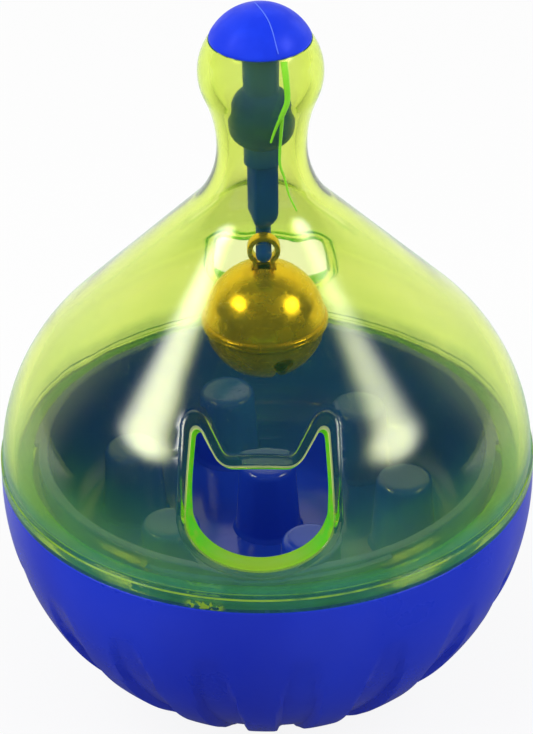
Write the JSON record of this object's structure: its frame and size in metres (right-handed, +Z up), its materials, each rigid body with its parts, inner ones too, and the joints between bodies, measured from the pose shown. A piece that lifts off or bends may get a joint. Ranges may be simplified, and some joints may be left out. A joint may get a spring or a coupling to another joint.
{
  "type": "wobble treat dispenser",
  "caption": "Teardrop treat dispenser for cats: fluted weighted base, food tray with posts, see-through screw-on dome with cat-face openings, knob plug and hanging bell",
  "frame": {"origin": "centre of the flat foot under the base", "axes": "+Z up through the knob, -Y out of the front cat-face opening, +X to the right seen from the front"},
  "size_m": [0.08, 0.08, 0.1163],
  "materials": {
    "blue_base_plastic": "glossy moulded",
    "ballast_iron": "as cast",
    "blue_tray_plastic": "glossy moulded",
    "lime_clear_plastic": "clear polished, lime tinted",
    "blue_soft_plug": "soft satin moulded",
    "bell_brass": "bright plated",
    "pellet_steel": "tumbled"
  },
  "bodies": {
    "weighted_base": {"base_shell": "blue_base_plastic", "ballast_slug": "ballast_iron", "food_tray": "blue_tray_plastic"},
    "plug": {"knob_plug": "blue_soft_plug"},
    "clear_dome": {"dome": "lime_clear_plastic"},
    "bell": {"bell_upper_shell": "bell_brass", "bell_lower_shell": "bell_brass", "bell_hanging_loop": "bell_brass", "bell_pellet": "pellet_steel"}
  },
  "joints": [
    {"name": "dome_rise", "type": "slide", "parent": "weighted_base", "child": "plug", "axis": [0, 0, 1], "range_m": [0, 0.00126]},
    {"name": "dome_twist", "type": "hinge", "parent": "plug", "child": "clear_dome", "pos_m": [0, 0, 0.0408], "axis": [0, 0, 1], "range_deg": [0, 75]},
    {"name": "bell_swing", "type": "hinge", "parent": "plug", "child": "bell", "pos_m": [0, 0, 0.07725], "axis": [0, 1, 0], "range_deg": [-40, 40]}
  ],
  "couplings": [
    {"joint": "dome_rise", "follows": "dome_twist", "m_per_rad": 0.00095493}
  ]
}
